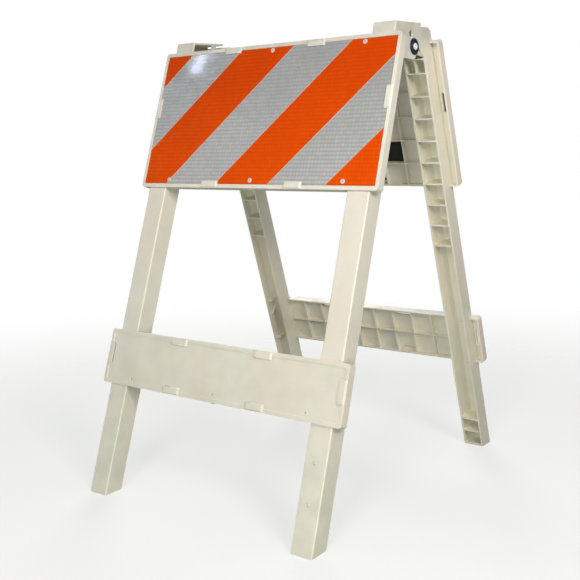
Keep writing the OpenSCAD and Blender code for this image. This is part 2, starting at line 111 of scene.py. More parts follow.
def add(
    tree: bpy.types.NodeTree,
    kind: str,
    settings: dict[str, object] | None = None,
    inputs: dict[str, Value] | list[Value] | None = None,
) -> bpy.types.Node:
    """Adds a node with its settings and links.

    Args:
        tree: the node tree that gets it.
        kind: the node's type, without the "ShaderNode" in front.
        settings: properties of the node itself.
        inputs: what goes into its sockets, by name or in the order in which the node shows them. A node
            links by its first shown output, a socket as it is, and anything else is set as a value.

    Returns:
        The new node.
    """
    node = tree.nodes.new("ShaderNode" + kind)
    for name, setting in (settings or {}).items():
        setattr(node, name, setting)
    if isinstance(inputs, list):
        pairs = list(zip((socket for socket in node.inputs if socket.enabled), inputs))
    else:
        pairs = [(node.inputs[name], value) for name, value in (inputs or {}).items()]
    for socket, value in pairs:
        if isinstance(value, bpy.types.Node):
            value = next(output for output in value.outputs if output.enabled)
        if isinstance(value, bpy.types.NodeSocket):
            tree.links.new(value, socket)
        else:
            socket.default_value = value
    return node


def new_material(name: str) -> tuple[bpy.types.Material, bpy.types.NodeTree]:
    """Makes an empty node material.

    Args:
        name: the finish's name.

    Returns:
        The material and its cleared node tree.
    """
    material = bpy.data.materials.new(name)
    material.use_nodes = True
    material.node_tree.nodes.clear()
    return material, material.node_tree


def corner_wear_and_highlight(tree: bpy.types.NodeTree, radius_mm: float, share: float) -> bpy.types.Node:
    """Finds a piece's outer and inner corners.

    Args:
        tree: the node tree.
        radius_mm: how far from a corner it still shows.
        share: how strong the mask is on the corners themselves.

    Returns:
        The node of a mask, which is 0 on the flat faces.
    """
    softened = add(tree, "Bevel", {"samples": 4}, {"Radius": radius_mm * MM})
    flat = add(tree, "NewGeometry").outputs["True Normal"]
    alike = add(tree, "VectorMath", {"operation": "DOT_PRODUCT"}, [softened, flat])
    corner = add(tree, "MapRange", SMOOTH, [alike, FLAT_ALIKE, CORNER_ALIKE, 0, 1])
    return add(tree, "Math", {"operation": "MULTIPLY"}, [corner, share])


@dataclass(frozen=True)
class MouldedPolyethylene:
    """High-density polyethylene, injection moulded: the legs and boards.

    The mould's fine spark texture gives a satin face. The melt's flow leaves faint warm and cool clouds. The
    corners are drawn paler, partly as polish from handling and partly as a painted highlight. Painted shade
    darkens the hollows and tints the lower ends of the legs darker and greener; the heads are drawn greyer.
    """

    name: str = "ivory_polyethylene_moulded"
    body: str = "E7E1D6"
    warm: str = "E6DACF"
    cool: str = "DCDCD2"
    # The corner colour is partly polish from handling, partly a painted highlight.
    corner: str = "F4EFE4"
    roughness: float = 0.42
    roughness_spread: Pair = (-0.07, 0.08)
    ior: float = 1.54
    # The melt's streaks run down the leg, twice as long as they are wide, with smaller cool clouds over them.
    flow_mm: float = 110.0
    flow_range: Pair = (0.35, 0.7)
    flow_stretch: Point = (1, 1, 0.5)
    cloud_range: Pair = (0.5, 0.8)
    cloud_share: float = 0.5
    # Painted shade: the legs are drawn darker and greener towards the feet, up to this height, in patches.
    # The same colour also marks the scuffs.
    film: str = "A9AD9A"
    foot_shade_height: float = 0.75
    foot_shade_share: float = 0.45
    patch_mm: float = 45.0
    patch_least: float = 0.55
    # The heads are drawn greyer above this height, in patches.
    head_grey: str = "AFAEA6"
    head_grey_height: float = 0.875
    head_grey_depth: float = 0.04
    head_grey_share: float = 0.6
    # Scuffs run across the legs, six times as long as they are high.
    scuff_mm: float = 9.0
    scuff_range: Pair = (0.66, 0.74)
    scuff_stretch: Point = (1, 1, 6)
    scuff_share: float = 0.16
    # Painted shade: the channels and the gaps between the ribs are drawn darker and yellower, as far from a
    # wall as this.
    hollow_shade: str = "D8D3BC"
    hollow_shade_reach: float = 0.06
    hollow_shade_range: Pair = (0.75, 0.25)
    hollow_shade_share: float = 0.6
    wear_and_highlight_mm: float = 1.6
    wear_and_highlight_share: float = 0.55
    polish_mm: float = 30.0
    # The real spark texture is about 0.1 mm, too fine to show, and is drawn as coarse as it needs to show.
    spark_mm: float = 1.1
    spark_strength: float = 0.22
    spark_height: float = 0.00025
    # Light goes a few millimetres into the milky plastic, and red goes farthest.
    glow: float = 0.35
    glow_mm: float = 7.0
    glow_reach: Point = (1.0, 0.85, 0.5)

    def colour(self, tree: bpy.types.NodeTree, where: bpy.types.NodeSocket) -> bpy.types.Node:
        """Lays the melt's clouds, painted shade at the feet and in the hollows, grey heads, scuffs and pale
        corners.

        Args:
            tree: the material's node tree.
            where: the coordinates, in metres.

        Returns:
            The node of the finished colour.
        """
        streaks = add(tree, "Mapping", inputs={"Vector": where, "Scale": self.flow_stretch})
        flow = add(tree, "TexNoise", inputs=[streaks, per_metre(self.flow_mm), 3])
        share = add(tree, "MapRange", SMOOTH, [flow, *self.flow_range, 0, 1])
        colour = add(tree, "Mix", BLEND, [share, linear(self.warm), linear(self.body)])

        clouds = add(tree, "TexNoise", inputs=[where, per_metre(self.flow_mm / 3), 4])
        share = add(tree, "MapRange", SMOOTH, [clouds, *self.cloud_range, 0, self.cloud_share])
        colour = add(tree, "Mix", BLEND, [share, colour, linear(self.cool)])

        height = add(tree, "SeparateXYZ", inputs=[where]).outputs["Z"]
        patches = add(tree, "TexNoise", inputs=[where, per_metre(self.patch_mm), 5])
        patchy = add(tree, "MapRange", SMOOTH, [patches, NOISE_LOW, NOISE_HIGH, self.patch_least, 1])
        # Painted shade: darker and greener towards the feet.
        low = add(tree, "MapRange", SMOOTH, [height, self.foot_shade_height, 0, 0, self.foot_shade_share])
        share = add(tree, "Math", {"operation": "MULTIPLY"}, [low, patchy])
        colour = add(tree, "Mix", BLEND, [share, colour, linear(self.film)])

        # The heads are drawn greyer above their height.
        head_grey_top = self.head_grey_height + self.head_grey_depth
        high = add(tree, "MapRange", SMOOTH, [height, self.head_grey_height, head_grey_top, 0, self.head_grey_share])
        share = add(tree, "Math", {"operation": "MULTIPLY"}, [high, patchy])
        colour = add(tree, "Mix", BLEND, [share, colour, linear(self.head_grey)])

        across = add(tree, "Mapping", inputs={"Vector": where, "Scale": self.scuff_stretch})
        scuffs = add(tree, "TexNoise", inputs=[across, per_metre(self.scuff_mm), 6])
        share = add(tree, "MapRange", SMOOTH, [scuffs, *self.scuff_range, 0, self.scuff_share])
        colour = add(tree, "Mix", BLEND, [share, colour, linear(self.film)])

        # Painted shade: darker and yellower in the hollows.
        hollow = add(tree, "AmbientOcclusion", {"samples": 4}, {"Distance": self.hollow_shade_reach}).outputs["AO"]
        share = add(tree, "MapRange", SMOOTH, [hollow, *self.hollow_shade_range, 0, self.hollow_shade_share])
        colour = add(tree, "Mix", BLEND, [share, colour, linear(self.hollow_shade)])

        # Paler corners: partly wear, partly a painted highlight.
        share = corner_wear_and_highlight(tree, self.wear_and_highlight_mm, self.wear_and_highlight_share)
        return add(tree, "Mix", BLEND, [share, colour, linear(self.corner)])

    def material(self) -> bpy.types.Material:
        """Builds the finish.

        Returns:
            The material.
        """
        made, tree = new_material(self.name)
        where = add(tree, "TexCoord").outputs["Object"]
        spark = add(tree, "TexNoise", inputs=[where, per_metre(self.spark_mm), 2])
        bump = {"Height": spark, "Strength": self.spark_strength, "Distance": self.spark_height}
        polish = add(tree, "TexNoise", inputs=[where, per_metre(self.polish_mm), 4])
        smoother, rougher = (self.roughness + spread for spread in self.roughness_spread)
        surface = {
            "Base Color": self.colour(tree, where),
            "Roughness": add(tree, "MapRange", SMOOTH, [polish, NOISE_LOW, NOISE_HIGH, smoother, rougher]),
            "IOR": self.ior,
            "Normal": add(tree, "Bump", inputs=bump),
            "Subsurface Weight": self.glow,
            "Subsurface Radius": self.glow_reach,
            "Subsurface Scale": self.glow_mm * MM,
        }
        add(tree, "OutputMaterial", inputs={"Surface": add(tree, "BsdfPrincipled", inputs=surface)})
        return made


@dataclass(frozen=True)
class PrismaticSheeting:
    """Polycarbonate prismatic reflective sheeting, embossed and sealed under a clear face film.

    Rows of square prism cells, each at its own slight angle, make a silvery woven sparkle. Its glint is
    painted:
    each cell is drawn lighter or darker at random. The clear face film over them adds a sharper gloss. A real
    prism is under 0.2 mm, too fine to show, so one cell is drawn for each square of the seal lattice, at the
    lattice's real pitch.
    """

    name: str
    light: str
    dark: str
    tilt: float
    metallic: float = 0.25
    roughness: float = 0.38
    roughness_spread: float = 0.1
    ior: float = 1.586
    gloss: float = 0.4
    coat: float = 0.45
    coat_roughness: float = 0.065
    coat_ior: float = 1.49
    pitch_mm: float = 8.0
    lattice: float = 0.48
    # From the middle of a cell to its edge is 0.5; the seal shows from the first value to the second.
    seal_rows: Pair = (0.12, 0.46)
    seal_columns: Pair = (0.22, 0.5)
    column_share: float = 0.6
    # Painted glint: each cell is drawn lighter or darker at random by this much.
    painted_glint_share: float = 0.35
    # Painted shade: the upper part sends less light back and is drawn darker for it. Slow clouds lie over the
    # whole sheet.
    dull: float = 0.45
    painted_shade_heights: Pair = (0.52, 0.86)
    cloud_mm: float = 90.0
    cloud_share: float = 0.12
    wave_mm: float = 28.0
    wave_height: float = 4.0
    emboss_strength: float = 0.35
    emboss_height: float = 0.00012

    def material(self) -> bpy.types.Material:
        """Builds the finish.

        Returns:
            The material.
        """
        made, tree = new_material(self.name)
        place = add(tree, "TexCoord").outputs["Object"]
        flat = add(tree, "Mapping", inputs={"Vector": place, "Rotation": (self.tilt, 0, 0)})
        pitch = per_metre(self.pitch_mm)
        cells = add(tree, "VectorMath", {"operation": "MULTIPLY"}, [flat, (pitch, 0, pitch)])
        number = add(tree, "VectorMath", {"operation": "FLOOR"}, [cells])
        glint = add(tree, "TexWhiteNoise", {"noise_dimensions": "3D"}, {"Vector": number})

        inside = add(tree, "VectorMath", {"operation": "FRACTION"}, [cells])
        centred = add(tree, "VectorMath", {"operation": "SUBTRACT"}, [inside, (0.5, 0.5, 0.5)])
        off = add(tree, "SeparateXYZ", inputs=[add(tree, "VectorMath", {"operation": "ABSOLUTE"}, [centred])])
        rows = add(tree, "MapRange", SMOOTH, [off.outputs["Z"], *self.seal_rows, 0, 1])
        columns = add(tree, "MapRange", SMOOTH, [off.outputs["X"], *self.seal_columns, 0, self.column_share])
        seal = add(tree, "Math", {"operation": "MAXIMUM"}, [rows, columns])
        # Painted glint: each cell lighter or darker at random.
        shade = add(tree, "Math", {"operation": "MULTIPLY_ADD"}, [glint, self.painted_glint_share, seal])
        share = add(tree, "Math", {"operation": "MULTIPLY"}, [shade, self.lattice])
        colour = add(tree, "Mix", BLEND, [share, linear(self.light), linear(self.dark)])

        height = add(tree, "SeparateXYZ", inputs=[flat]).outputs["Z"]
        # Painted shade: darker towards the top of the sheet.
        painted_top_shade = add(tree, "MapRange", SMOOTH, [height, *self.painted_shade_heights, 0, self.dull])
        clouds = add(tree, "TexNoise", inputs=[flat, per_metre(self.cloud_mm), 3])
        drift = add(tree, "MapRange", SMOOTH, [clouds, NOISE_LOW, NOISE_HIGH, 0, self.cloud_share])
        share = add(tree, "Math", {"operation": "ADD"}, [drift, painted_top_shade])
        colour = add(tree, "Mix", BLEND, [share, colour, linear(self.dark)])

        waves = add(tree, "TexNoise", inputs=[flat, per_metre(self.wave_mm), 2])
        sunk = add(tree, "Math", {"operation": "MULTIPLY"}, [seal, -1])
        relief = add(tree, "Math", {"operation": "MULTIPLY_ADD"}, [waves, self.wave_height, sunk])
        bump = {"Height": relief, "Strength": self.emboss_strength, "Distance": self.emboss_height}
        smoother, rougher = self.roughness - self.roughness_spread, self.roughness + self.roughness_spread
        surface = {
            "Base Color": colour,
            "Metallic": self.metallic,
            "Roughness": add(tree, "MapRange", SMOOTH, [glint, 0, 1, smoother, rougher]),
            "IOR": self.ior,
            "Normal": add(tree, "Bump", inputs=bump),
            "Specular IOR Level": self.gloss,
            "Coat Weight": self.coat,
            "Coat Roughness": self.coat_roughness,
            "Coat IOR": self.coat_ior,
        }
        add(tree, "OutputMaterial", inputs={"Surface": add(tree, "BsdfPrincipled", inputs=surface)})
        return made


@dataclass(frozen=True)
class SmallPlastic:
    """A small moulded or extruded plastic part.

    It comes out of the mould a little cloudy and soft-edged, with gloss that handling breaks up. Its corners
    are lightened with white, partly wear and partly a painted highlight. The real grain is under 0.1 mm, too
    fine to show, and is drawn as coarse as it needs to show.
    """

    name: str
    body: str
    tint: str
    roughness: float
    ior: float
    cloud_mm: float
    grain_mm: float
    roughness_spread: Pair = (-0.06, 0.08)
    cloud_range: Pair = (0.35, 0.75)
    cloud_share: float = 0.8
    # Corners are lightened with this white: partly wear, partly a painted highlight.
    edge_wear_and_highlight: str = "FFFFFF"
    wear_and_highlight_mm: float = 0.7
    wear_and_highlight_share: float = 0.35
    grain_strength: float = 0.2
    grain_height: float = 0.0001

    def material(self) -> bpy.types.Material:
        """Builds the finish.

        Returns:
            The material.
        """
        made, tree = new_material(self.name)
        where = add(tree, "TexCoord").outputs["Object"]
        clouds = add(tree, "TexNoise", inputs=[where, per_metre(self.cloud_mm), 4])
        share = add(tree, "MapRange", SMOOTH, [clouds, *self.cloud_range, 0, self.cloud_share])
        colour = add(tree, "Mix", BLEND, [share, linear(self.body), linear(self.tint)])
        # Painted highlight, partly wear: the corners are lightened with white.
        worn = corner_wear_and_highlight(tree, self.wear_and_highlight_mm, self.wear_and_highlight_share)
        colour = add(tree, "Mix", BLEND | {"blend_type": "SOFT_LIGHT"}, [worn, colour, linear(self.edge_wear_and_highlight)])
        grain = add(tree, "TexNoise", inputs=[where, per_metre(self.grain_mm), 2])
        bump = {"Height": grain, "Strength": self.grain_strength, "Distance": self.grain_height}
        smoother, rougher = (self.roughness + spread for spread in self.roughness_spread)
        surface = {
            "Base Color": colour,
            "Roughness": add(tree, "MapRange", SMOOTH, [share, 0, 1, smoother, rougher]),
            "IOR": self.ior,
            "Normal": add(tree, "Bump", inputs=bump),
        }
        add(tree, "OutputMaterial", inputs={"Surface": add(tree, "BsdfPrincipled", inputs=surface)})
        return made


@dataclass(frozen=True)
class ZincPlatedSteel:
    """Mild steel, zinc plated: a dull silver with small crystals and a faint yellow passivation.

    Real plating crystals are well under 1 mm, too fine to show, and are drawn as coarse as they need to show.
    """

    name: str = "zinc_plated_steel"
    bright: str = "C9C9C4"
    dull: str = "A3A096"
    metallic: float = 1.0
    roughness: float = 0.36
    roughness_spread: Pair = (-0.08, 0.1)
    crystal_mm: float = 2.2
    grain_mm: float = 0.6
    grain_strength: float = 0.15
    grain_height: float = 0.0001

    def material(self) -> bpy.types.Material:
        """Builds the finish.

        Returns:
            The material.
        """
        made, tree = new_material(self.name)
        where = add(tree, "TexCoord").outputs["Object"]
        crystals = add(tree, "TexVoronoi", inputs={"Vector": where, "Scale": per_metre(self.crystal_mm)})
        share = add(tree, "SeparateColor", inputs=[crystals.outputs["Color"]])
        grain = add(tree, "TexNoise", inputs=[where, per_metre(self.grain_mm), 2])
        bump = {"Height": grain, "Strength": self.grain_strength, "Distance": self.grain_height}
        smoother, rougher = (self.roughness + spread for spread in self.roughness_spread)
        surface = {
            "Base Color": add(tree, "Mix", BLEND, [share, linear(self.bright), linear(self.dull)]),
            "Metallic": self.metallic,
            "Roughness": add(tree, "MapRange", SMOOTH, [share, 0, 1, smoother, rougher]),
            "Normal": add(tree, "Bump", inputs=bump),
        }
        add(tree, "OutputMaterial", inputs={"Surface": add(tree, "BsdfPrincipled", inputs=surface)})
        return made


@dataclass(frozen=True)
class StudioPaper:
    """Seamless matte paper under the barricade, which fades out towards its edge.

    Paper's fibres give it a faint mottle. They are too fine to show, and are drawn as coarse as they need to.
    """

    name: str = "studio_paper_matte"
    body: str = "F2F2EE"
    fibre: str = "ECECE8"
    fibre_mm: float = 3.0
    fibre_share: float = 0.5
    solid_radius: float = 0.7
    faded_radius: float = 2.3
    sheer: float = 0.6

    def material(self) -> bpy.types.Material:
        """Builds the finish.

        Returns:
            The material.
        """
        made, tree = new_material(self.name)
        where = add(tree, "TexCoord").outputs["Object"]
        fibres = add(tree, "TexNoise", inputs=[where, per_metre(self.fibre_mm), 4])
        share = add(tree, "MapRange", SMOOTH, [fibres, NOISE_LOW, NOISE_HIGH, 0, self.fibre_share])
        colour = add(tree, "Mix", BLEND, [share, linear(self.body), linear(self.fibre)])
        paper = add(tree, "BsdfDiffuse", inputs={"Color": colour})
        clear = add(tree, "BsdfTransparent")
        reach = add(tree, "VectorMath", {"operation": "LENGTH"}, [where])
        faded = add(tree, "MapRange", SMOOTH, [reach, self.solid_radius, self.faded_radius, self.sheer, 1])
        add(tree, "OutputMaterial", inputs={"Surface": add(tree, "MixShader", inputs=[faded, paper, clear])})
        return made


@dataclass(frozen=True)
class HalfPlane:
    """One half's own directions: x along the boards, s down the leg from the hinge, t outward."""

    side: Side
    tilt: float
    hinge_z: float

    def point(self, x: float, s: float, t: float) -> Vector:
        """Turns half coordinates into a point of the frame.

        Args:
            x: place along the boards.
            s: distance down the leg from the hinge axis.
            t: distance outward from the hinge axis.

        Returns:
            The point, in metres.
        """
        y = s * math.sin(self.tilt) + t * math.cos(self.tilt)
        z = self.hinge_z - s * math.cos(self.tilt) + t * math.sin(self.tilt)
        return Vector((x, self.side.value * y, z))

    def coordinates(self, point: Vector) -> Vector:
        """Turns a point of the frame into half coordinates.

        Args:
            point: the point, in metres.

        Returns:
            Its x, s and t.
        """
        y, z = self.side.value * point.y, point.z - self.hinge_z
        s = y * math.sin(self.tilt) - z * math.cos(self.tilt)
        t = y * math.cos(self.tilt) + z * math.sin(self.tilt)
        return Vector((point.x, s, t))

    def extent(self, node: str) -> tuple[Vector, Vector]:
        """Measures a node in half coordinates.

        Args:
            node: the CAD node's name.

        Returns:
            Its lowest and its highest x, s and t.
        """
        found = [self.coordinates(v.co) for v in frame["nodes"][node].data.vertices]
        return Vector(map(min, *found)), Vector(map(max, *found))

    def outward(self) -> Vector:
        """Gives the direction square to the boards, away from the barricade."""
        return self.point(0, 0, 1) - self.point(0, 0, 0)


def mesh_piece(
    name: str, mesh: bmesh.types.BMesh, material: bpy.types.Material, smooth: bool = True
) -> bpy.types.Object:
    """Turns a finished bmesh into a piece of the barricade.

    Args:
        name: the piece's name.
        mesh: the geometry, which is used up.
        material: its finish.
        smooth: whether its faces shade smoothly.

    Returns:
        The new object.
    """
    bmesh.ops.recalc_face_normals(mesh, faces=mesh.faces)
    data = bpy.data.meshes.new(name)
    mesh.to_mesh(data)
    mesh.free()
    for face in data.polygons:
        face.use_smooth = smooth
    data.materials.append(material)
    made = bpy.data.objects.new(name, data)
    bpy.context.scene.collection.objects.link(made)
    return made


def turned(mesh: bmesh.types.BMesh, profile: list[Pair], place_at: Matrix, steps: int = 48) -> None:
    """Adds a turned shape to a bmesh.

    Args:
        mesh: the geometry that gets it.
        profile: radius and height pairs, in metres, from one end to the other. It closes into a loop where
            neither end lies on the axis.
        place_at: puts the shape's own Z axis where the turning axis lies.
        steps: how many steps go round.
    """
    turns = [2 * math.pi * i / steps for i in range(steps)]
    rings: list[list[bmesh.types.BMVert]] = []
    for radius, height in profile:
        points = [Vector((radius * math.cos(turn), radius * math.sin(turn), height)) for turn in turns]
        if radius < ON_AXIS:
            points = [Vector((0, 0, height))]
        rings.append([mesh.verts.new(place_at @ point) for point in points])
    open_ends = len(rings[0]) == 1 or len(rings[-1]) == 1
    pairs = list(zip(rings, rings[1:])) + ([] if open_ends else [(rings[-1], rings[0])])
    for low, high in pairs:
        for i in range(steps):
            j = (i + 1) % steps
            corners = [low[i % len(low)], low[j % len(low)], high[j % len(high)], high[i % len(high)]]
            unique = list(dict.fromkeys(corners))
            if len(unique) > 2:
                mesh.faces.new(unique)


def rounded(points: list[Pair], radius: float, steps: int = 4) -> list[Pair]:
    """Rounds the inner corners of an open profile.

    Args:
        points: the profile's corners.
        radius: how far from a corner its round starts.
        steps: how many steps a round has.

    Returns:
        The profile with its ends kept and every other corner rounded.
    """
    # Two rounds that share an edge leave a little of it between them.
    widest = 0.45
    result = [points[0]]
    for before, corner, after in zip(points, points[1:], points[2:]):
        b, c, a = Vector(before), Vector(corner), Vector(after)
        reach = min(radius, (b - c).length * widest, (a - c).length * widest)
        start, stop = c + (b - c).normalized() * reach, c + (a - c).normalized() * reach
        for i in range(steps + 1):
            u = i / steps
            spot = start * (1 - u) ** 2 + c * (2 * u * (1 - u)) + stop * u**2
            result.append((spot.x, spot.y))
    return result + [points[-1]]


def aimed(origin: Vector, axis: Vector) -> Matrix:
    """Gives the placing that carries a shape's Z axis onto an axis through a point."""
    return Matrix.Translation(origin) @ axis.to_track_quat("Z", "Y").to_matrix().to_4x4()


def islands(node: str) -> list[list[Vector]]:
    """Splits a node's mesh into the points of its separate solids.

    Args:
        node: the CAD node's name.

    Returns:
        One list of points for each solid, in order of X and then Z.
    """
    mesh = bmesh.new()
    mesh.from_mesh(frame["nodes"][node].data)
    bmesh.ops.remove_doubles(mesh, verts=mesh.verts, dist=1e-6)
    left = set(mesh.verts)
    groups = []
    while left:
        stack, group = [left.pop()], []
        while stack:
            vert = stack.pop()
            group.append(vert.co.copy())
            for edge in vert.link_edges:
                other = edge.other_vert(vert)
                if other in left:
                    left.remove(other)
                    stack.append(other)
        groups.append(group)
    mesh.free()
    middle = [sum(g, Vector()) / len(g) for g in groups]
    order = sorted(range(len(groups)), key=lambda i: (round(middle[i].x, 3), round(middle[i].z, 3)))
    return [groups[i] for i in order]


@dataclass
class Finishes:
    """Every finish of the barricade, built once."""

    ivory: bpy.types.Material
    backing: bpy.types.Material
    white: dict[Side, bpy.types.Material]
    orange: dict[Side, bpy.types.Material]
    seam: bpy.types.Material
    rivet: bpy.types.Material
    rivet_pin: bpy.types.Material
    hub: bpy.types.Material
    cap: bpy.types.Material
    zinc: bpy.types.Material

    @classmethod
    def build(cls, tilt: float) -> "Finishes":
        """Builds the finishes.

        Args:
            tilt: the halves' lean from vertical, in radians, which the sheeting's rows follow.

        Returns:
            The set of materials.
        """
        return cls(
            ivory=MouldedPolyethylene().material(),
            # Black polystyrene sheet, extruded: even and almost matte.
            backing=SmallPlastic(
                "black_polystyrene_sheet",
                "08090A",
                "0F1012",
                roughness=0.6,
                ior=1.59,
                cloud_mm=30,
                grain_mm=0.8,
            ).material(),
            # Bare prisms under a clear film: silver grey, with a sharp gloss on top.
            white={
                side: PrismaticSheeting(
                    f"white_prismatic_sheeting_{side.name.lower()}", "D0CDCE", "939192", -side.value * tilt
                ).material()
                for side in Side
            },
            # Orange acrylic overlay film: a deep, even colour that hides most of the prisms and their gloss.
            orange={
                side: PrismaticSheeting(
                    f"orange_prismatic_film_{side.name.lower()}",
                    "EA5200",
                    "B63400",
                    -side.value * tilt,
                    metallic=0.0,
                    roughness=0.5,
                    coat=0.0,
                    lattice=0.336,
                    gloss=0.05,
                ).material()
                for side in Side
            },
            # Cut edge of the clear acrylic film: a pale milky line.
            seam=SmallPlastic(
                "film_cut_edge", "D9C6B8", "CDB9A8", roughness=0.4, ior=1.49, cloud_mm=12, grain_mm=0.4
            ).material(),
            # Nylon 6, injection moulded: milky white and glossy.
            rivet=SmallPlastic(
                "white_nylon_rivet", "D3C6BF", "BFB2AA", roughness=0.3, ior=1.53, cloud_mm=4, grain_mm=0.4
            ).material(),
            # The same nylon, greyer where the driving tool has scuffed it.
            rivet_pin=SmallPlastic(
                "white_nylon_drive_pin",
                "BDB2AB",
                "A99F98",
                roughness=0.35,
                ior=1.53,
                cloud_mm=4,
                grain_mm=0.4,
            ).material(),
            # The same nylon, clean and bright, since it lies sheltered in its cap.
            hub=SmallPlastic(
                "white_nylon_hub", "EEEDE8", "DDDCD6", roughness=0.28, ior=1.53, cloud_mm=5, grain_mm=0.4
            ).material(),
            # Glass-filled nylon, moulded: dark blue-black, slightly chalky.
            cap=SmallPlastic(
                "dark_filled_nylon", "151A2C", "20263A", roughness=0.38, ior=1.53, cloud_mm=5, grain_mm=0.5
            ).material(),
            zinc=ZincPlatedSteel().material(),
        )


@dataclass
class Half:
    """One half of the barricade: its legs, boards, panel and rivets."""

    plane: HalfPlane
    finishes: Finishes
    leg_edge: float = 0.9 * MM
    board_edge: float = 0.7 * MM
    seam_width: float = 0.9 * MM
    seam_height: float = 0.06 * MM
    shortest_seam: float = 20 * MM
    face_play: float = 0.02 * MM
    rivet_radius: float = 5.0 * MM
    rivet_dome: float = 1.5 * MM
    rivet_pin: float = 2.1 * MM
    head_round: float = 0.5 * MM
    pin_round: float = 0.3 * MM
    mark_radius: float = 4.0 * MM
    mark_height: float = 0.9 * MM
    mark_rises: Pair = (86 * MM, 158 * MM)
    mark_round: float = 1.5 * MM

    @property
    def name(self) -> str:
        """The half's name, as its nodes and its body have it."""
        return self.plane.side.name.lower()

    @property
    def body(self) -> str:
        """The CAD body that this half rides on."""
        return f"{self.name}_frame"

    def node(self, part: str) -> str:
        """Gives the full name of one of this half's CAD nodes."""
        return f"{self.name}_{part}"

    def soften(self, part: str, width: float) -> None:
        """Rounds a moulding's edges.

        Args:
            part: the node's name without its half.
            width: how far the round reaches from an edge.
        """
        moulding = frame["nodes"][self.node(part)]
        edge = moulding.modifiers.new("moulded_edges", "BEVEL")
        edge.width = width
        edge.segments = 2
        edge.limit_method = "ANGLE"
        edge.angle_limit = math.radians(30)
        edge.harden_normals = False

    def dress(self) -> None:
        """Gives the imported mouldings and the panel's layers their finishes."""
        side = self.plane.side
        coats = {
            "left_leg": self.finishes.ivory,
            "right_leg": self.finishes.ivory,
            "upper_board": self.finishes.ivory,
            "lower_board": self.finishes.ivory,
            "backing_panel": self.finishes.backing,
            "white_sheeting": self.finishes.white[side],
            "orange_film": self.finishes.orange[side],
        }
        for part, coat in coats.items():
            frame["nodes"][self.node(part)].data.materials[0] = coat
        LOG.info("%s half: %d packed pieces dressed", self.name, len(coats))

    def rivets(self) -> list[bpy.types.Object]:
        """Builds the rivets' dished heads and the drive pins in their middles.

        Returns:
            The heads as one piece and the pins as another.
        """
        heads, pins = bmesh.new(), bmesh.new()
        foot = self.plane.extent(self.node("orange_film"))[1].z
        r, h, pin = self.rivet_radius, self.rivet_dome, self.rivet_pin
        # The head is a low dome with a dish in its middle, and the pin stands proud of the dish's floor.
        rim = [(r, 0), (r, h * 0.3), (r * 0.8, h)]
        dish = [(pin * 1.25, h * 0.92), (pin, h * 0.35), (0, h * 0.3)]
        core = [(pin * 0.92, h * 0.2), (pin * 0.9, h * 0.62), (pin * 0.5, h * 0.7), (0, h * 0.66)]
        for group in islands(self.node("panel_rivets")):
            middle = self.plane.coordinates((Vector(map(min, *group)) + Vector(map(max, *group))) / 2)
            spot = aimed(self.plane.point(middle.x, middle.y, foot), self.plane.outward())
            turned(heads, [(0, 0)] + rounded(rim + dish, self.head_round), spot, steps=32)
            turned(pins, [(0, h * 0.2)] + rounded(core, self.pin_round), spot, steps=24)
        made = [
            mesh_piece(f"{self.name}_rivet_heads", heads, self.finishes.rivet),
            mesh_piece(f"{self.name}_rivet_pins", pins, self.finishes.rivet_pin),
        ]
        for piece in made:
            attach(piece, self.body)
        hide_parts(self.node("panel_rivets"))
        return made

    def stripe_edges(self, lift: float) -> list[tuple[Pair, Pair]]:
        """Finds the slanting cut edges of the stripes.

        Args:
            lift: how far out the film's face lies.

        Returns:
            Each edge's two ends, as x and s, in order.
        """
        film = frame["nodes"][self.node("orange_film")].data
        slant = Vector((1, 1)).normalized().x
        lines = set()
        for edge in film.edges:
            a, b = (self.plane.coordinates(film.vertices[i].co) for i in edge.vertices)
            run = Vector((b.x - a.x, b.y - a.y))
            on_face = min(a.z, b.z) > lift - self.face_play
            if on_face and run.length > self.shortest_seam and abs(abs(run.normalized().x) - slant) < 0.01:
                ends = sorted([(round(a.x, 5), round(a.y, 5)), (round(b.x, 5), round(b.y, 5))])
                lines.add((ends[0], ends[1]))
        return sorted(lines)

    def film_seams(self) -> bpy.types.Object:
        """Builds the pale lines along the stripes' cut edges.

        Returns:
            The lines as one piece.
        """
        lift = self.plane.extent(self.node("orange_film"))[1].z
        seams = bmesh.new()
        for low, high in self.stripe_edges(lift):
            a, b = Vector(low), Vector(high)
            run = (b - a).normalized()
            across = Vector((-run.y, run.x)) * self.seam_width / 2
            corners = (a + across, b + across, b - across, a - across)
            verts = [
                seams.verts.new(self.plane.point(c.x, c.y, lift + level))
                for level in (-self.seam_height, self.seam_height)
                for c in corners
            ]
            for face in ((0, 1, 2, 3), (4, 5, 6, 7), (0, 1, 5, 4), (1, 2, 6, 5), (2, 3, 7, 6), (3, 0, 4, 7)):
                seams.faces.new([verts[i] for i in face])
        piece = mesh_piece(f"{self.name}_film_seams", seams, self.finishes.seam, smooth=False)
        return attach(piece, self.body)

    def mould_marks(self) -> bpy.types.Object:
        """Builds the low pips that the mould leaves on the face of one leg, above its foot.

        Returns:
            The pips as one piece.
        """
        leg = {Side.FRONT: "right_leg", Side.REAR: "left_leg"}[self.plane.side]
        low, high = self.plane.extent(self.node(leg))
        r, h = self.mark_radius, self.mark_height
        dome = rounded([(r, 0), (r * 0.7, h), (0, h)], self.mark_round)
        pips = bmesh.new()
        for rise in self.mark_rises:
            spot = self.plane.point((low.x + high.x) / 2, high.y - rise, high.z)
            turned(pips, [(0, 0)] + dome, aimed(spot, self.plane.outward()), steps=32)
        piece = mesh_piece(f"{self.name}_mould_marks", pips, self.finishes.ivory)
        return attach(piece, self.body)

    def build(self) -> None:
        """Dresses the half and builds its small pieces."""
        self.dress()
        for part in ("left_leg", "right_leg"):
            self.soften(part, self.leg_edge)
        for part in ("upper_board", "lower_board"):
            self.soften(part, self.board_edge)
        made = self.rivets() + [self.film_seams(), self.mould_marks()]
        LOG.info("%s half: built %s", self.name, ", ".join(piece.name for piece in made))


